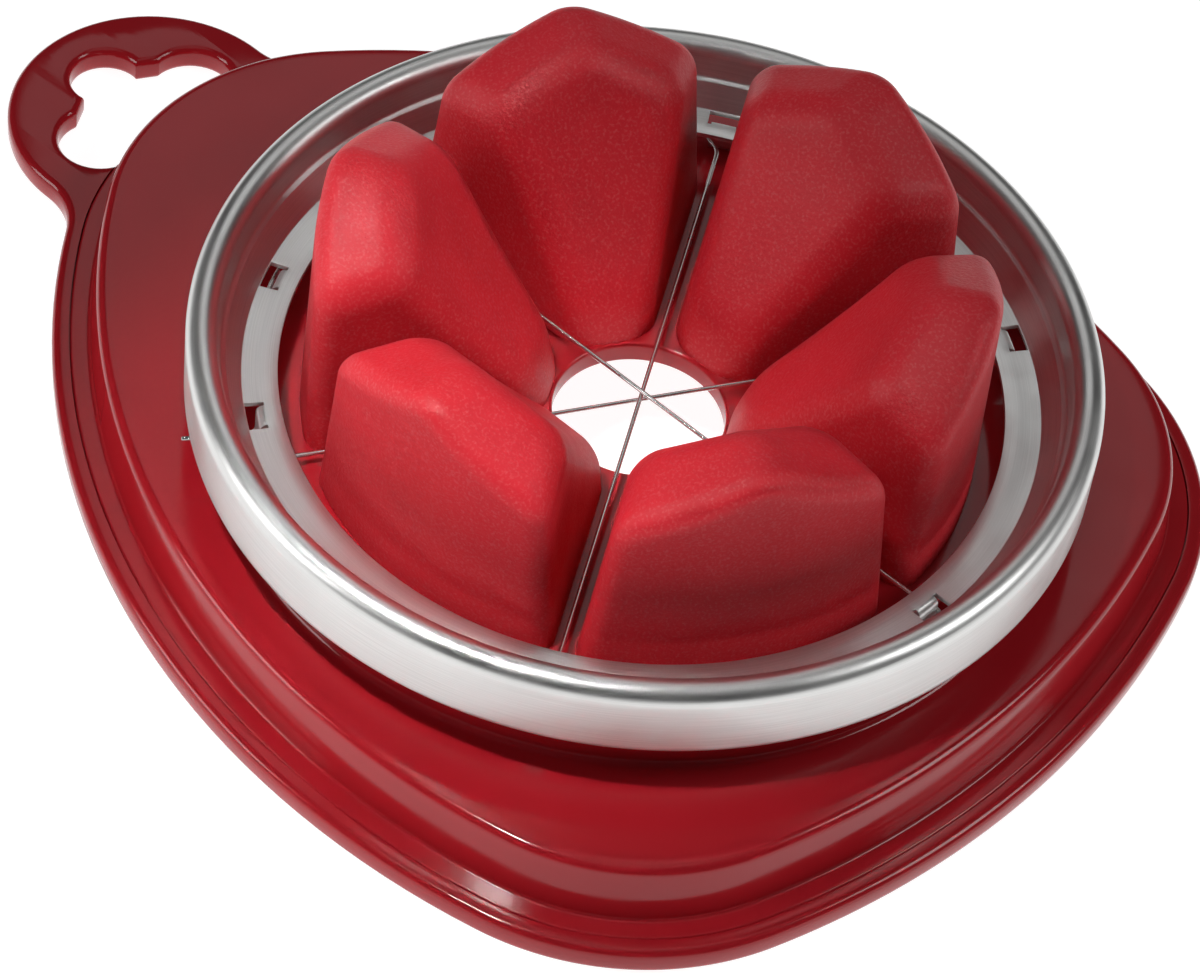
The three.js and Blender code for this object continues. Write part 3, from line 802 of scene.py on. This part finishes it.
def sheet_mesh():
    """The ring's outer face as a grid without the windows, joined by the tongues' own grids: points
    and faces, and for each point u round the ring and v along the profile, in metres."""
    angles, tongues = ring_angles()
    profile = sheet_profile()
    columns = len(angles)
    points = turned(profile, angles)
    faces = grid_faces(len(profile), columns, False, True)
    window_row = len(profile) - 3
    middle = (angles + np.roll(angles, -1)) / 2
    open_column = angle_off(middle, tongues) < WINDOW_HALF / WINDOW_INNER
    row_of = faces[:, 0] // columns
    column_of = faces[:, 0] % columns
    kept = ~((row_of == window_row) & open_column[column_of])
    travelled = np.concatenate([[0], np.cumsum(np.hypot(*np.diff(profile, axis=0).T))])
    u = np.tile(angles * RING_RADIUS, len(profile))
    v = np.repeat(travelled, columns)
    all_points, all_faces, all_u, all_v = [points.reshape(-1, 3)], [faces[kept]], [u], [v]
    curl = tongue_profile()
    start = len(points.reshape(-1, 3))
    for tongue in tongues:
        own = tongue + np.array([-TONGUE_HALF, -TONGUE_THIRD, TONGUE_THIRD, TONGUE_HALF]) / WINDOW_INNER
        strip = turned(curl, own)
        strip_faces = grid_faces(len(curl), len(own), False, False)[:, ::-1]
        all_points.append(strip.reshape(-1, 3))
        all_faces.append(strip_faces + start)
        all_u.append(np.tile(own * RING_RADIUS, len(curl)))
        all_v.append(np.repeat(np.arange(len(curl)) * TONGUE_ROW, len(own)))
        start += strip.shape[0] * strip.shape[1]
    return [np.concatenate(part) for part in (all_points, all_faces, all_u, all_v)]


points, faces, u, v = sheet_mesh()
ring = mesh_piece("pressed_ring", points, faces, 50)
flat_uv(ring.data, u, v)
merged(ring.data, closed=False)
wall = ring.modifiers.new("sheet", "SOLIDIFY")
wall.thickness = SHEET
wall.offset = -1
edge = ring.modifiers.new("edges", "BEVEL")
edge.width = EDGE_ROUNDING
edge.segments = 2
edge.limit_method = "ANGLE"
edge.angle_limit = math.radians(60)
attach(ring, "cutter")
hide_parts("cutter_ring")


def drawn_steel(name, light, dark, roughness, stretch, depth):
    """Steel with lines along the UV map's u: noise squeezed across them and stretched along."""
    material, tree, shader, place = finish_material(name, 1)
    lines = noise_node(tree, stretch_node(tree, place.outputs["UV"], stretch), 1, 3, 0.65)
    shade = tree.nodes.new("ShaderNodeMix")
    shade.data_type = "RGBA"
    shade.inputs["A"].default_value = (*dark, 1)
    shade.inputs["B"].default_value = (*light, 1)
    link(tree, range_node(tree, lines, 0, 1), shade.inputs["Factor"])
    link(tree, shade.outputs["Result"], shader.inputs["Base Color"])
    smears = noise_node(tree, place.outputs["Object"], 120, 4, 0.6)
    link(tree, range_node(tree, smears, *roughness), shader.inputs["Roughness"])
    bump_into(tree, shader, lines, 0.12, depth)
    return material


brushed_steel = drawn_steel(
    "brushed_steel", light=(0.80, 0.80, 0.79), dark=(0.68, 0.68, 0.67), roughness=(0.32, 0.44),
    stretch=(60, 9000, 1), depth=0.01 * MM,
)
ring.data.materials.append(brushed_steel)

# ---- cutting wire ------------------------------------------------------------------------------
# One length of thin hard-drawn steel wire. It crosses the ring three times, bends round a tongue
# at each end of a crossing, and its cut end sticks out under the skirt.

WIRE_DIAMETER = 0.42 * MM
WIRE_HEIGHT = FLANGE_HEIGHT - 2.1 * MM
CROSSING_PITCH = 0.55 * MM
WIRE_SIDES = 16
WIRE_BEND = 1.2 * MM
WIRE_BACK = 1.2 * MM
WIRE_BESIDE = 0.35 * MM
WIRE_END = 0.5 * MM
UNDER_FLANGE_CHORDS = 12
DOME = 0.4


def polar(radius, degrees, height):
    """A point at a radius and an angle from the ring's axis, at a height."""
    angle = math.radians(degrees)
    return np.array([AXIS_X + radius * math.cos(angle), radius * math.sin(angle), height])


def hook_points(tongue, crossing, side, height):
    """The wire's corners at one hook, from the crossing outwards and behind the tongue: the tongue
    and the crossing are angles, and side says which way round the wire passes the tongue."""
    back = WINDOW_INNER + WIRE_BACK
    beside = side * math.degrees((TONGUE_HALF + WIRE_BESIDE) / back)
    return [
        polar(FLANGE_INNER + 0.4 * MM, crossing, height),
        polar(WINDOW_INNER + 0.2 * MM, tongue + beside, height),
        polar(back, tongue + 0.8 * beside, height),
        polar(back + 0.1 * MM, tongue, height),
    ]


def wire_corners():
    """The corners of the wire's whole way, with the stretches under the flange as chords."""
    corners = []
    for i in range(0, len(HOOKS), 2):
        height = WIRE_HEIGHT + CROSSING_PITCH * (1 - i / 2)
        if i == 0:
            corners += hook_points(START_TONGUE, START_TONGUE, 1, height)[1:]
        last_tongue = START_TONGUE if i == 0 else HOOKS[i - 1][0]
        sweep = (last_tongue - HOOKS[i][0]) % 360
        for share in np.linspace(0, 1, UNDER_FLANGE_CHORDS)[1:-1]:
            corners.append(polar(WINDOW_INNER + WIRE_BACK + 0.1 * MM, last_tongue - sweep * share, height))
        corners += hook_points(*HOOKS[i], height)[::-1]
        corners += hook_points(*HOOKS[i + 1], height)
    corners.append(polar(RING_RADIUS + WIRE_END, HOOKS[-1][0] - 0.5, corners[-1][2]))
    return np.array(corners)


def bent_path(corners, bend, steps):
    """The corners' polyline with each corner replaced by a quadratic curve that starts and ends
    bend, or half a side, away from it."""
    path = [corners[0]]
    for before, corner, after in zip(corners, corners[1:], corners[2:]):
        back, ahead = before - corner, after - corner
        first = corner + back * min(0.5, bend / np.linalg.norm(back))
        last = corner + ahead * min(0.5, bend / np.linalg.norm(ahead))
        t = np.linspace(0, 1, steps)[:, None]
        path.extend((1 - t) ** 2 * first + 2 * t * (1 - t) * corner + t**2 * last)
    path.append(corners[-1])
    path = np.array(path)
    apart = np.linalg.norm(np.diff(path, axis=0), axis=1) > 0.01 * MM
    return path[np.concatenate([[True], apart])]


def round_rod(name, path, diameter, sides):
    """A circle carried along a nearly level path: aside is up cross the path's direction, and a
    point is path + radius * (cos aside + sin up). Both ends close in a shallow dome. The UV map has
    u along the path and v round it, in metres."""
    ahead = np.gradient(path, axis=0)
    aside = np.cross([0, 0, 1], ahead)
    aside /= np.linalg.norm(aside, axis=1)[:, None]
    ahead /= np.linalg.norm(ahead, axis=1)[:, None]
    up = np.cross(ahead, aside)
    cap = np.radians([90, 60, 30])
    radius = diameter / 2
    start = path[0] - np.outer(np.sin(cap), ahead[0]) * radius * DOME
    end = path[-1] + np.outer(np.sin(cap[::-1]), ahead[-1]) * radius * DOME
    centre = np.concatenate([start, path, end])
    taper = np.maximum(np.cos(cap), 0.01)
    size = np.concatenate([taper, np.ones(len(path)), taper[::-1]]) * radius
    aside = np.concatenate([np.tile(aside[0], (3, 1)), aside, np.tile(aside[-1], (3, 1))])
    up = np.concatenate([np.tile(up[0], (3, 1)), up, np.tile(up[-1], (3, 1))])
    turn = np.linspace(0, 2 * math.pi, sides, endpoint=False)[None, :, None]
    around = np.cos(turn) * aside[:, None] + np.sin(turn) * up[:, None]
    points = centre[:, None] + size[:, None, None] * around
    faces = grid_faces(len(centre), sides, False, True).tolist()
    last = (len(centre) - 1) * sides
    faces.append(list(range(sides - 1, -1, -1)))
    faces.append(list(range(last, last + sides)))
    rod = mesh_piece(name, points, faces, 60)
    step = np.linalg.norm(np.diff(centre, axis=0, prepend=centre[:1]), axis=1)
    along = np.repeat(np.cumsum(step), sides)
    flat_uv(rod.data, along, np.tile(turn.ravel() * radius, len(centre)))
    return rod


wire_path = bent_path(wire_corners(), WIRE_BEND, 7)
wire = round_rod("strung_wire", wire_path, WIRE_DIAMETER, WIRE_SIDES)
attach(wire, "cutter")
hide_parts("cutting_wire")
drawn_wire = drawn_steel(
    "drawn_wire", light=(0.8, 0.8, 0.78), dark=(0.6, 0.6, 0.59), roughness=(0.2, 0.3),
    stretch=(200, 12000, 1), depth=0.005 * MM,
)
wire.data.materials.append(drawn_wire)

bpy.context.scene.view_settings.view_transform = "Standard"
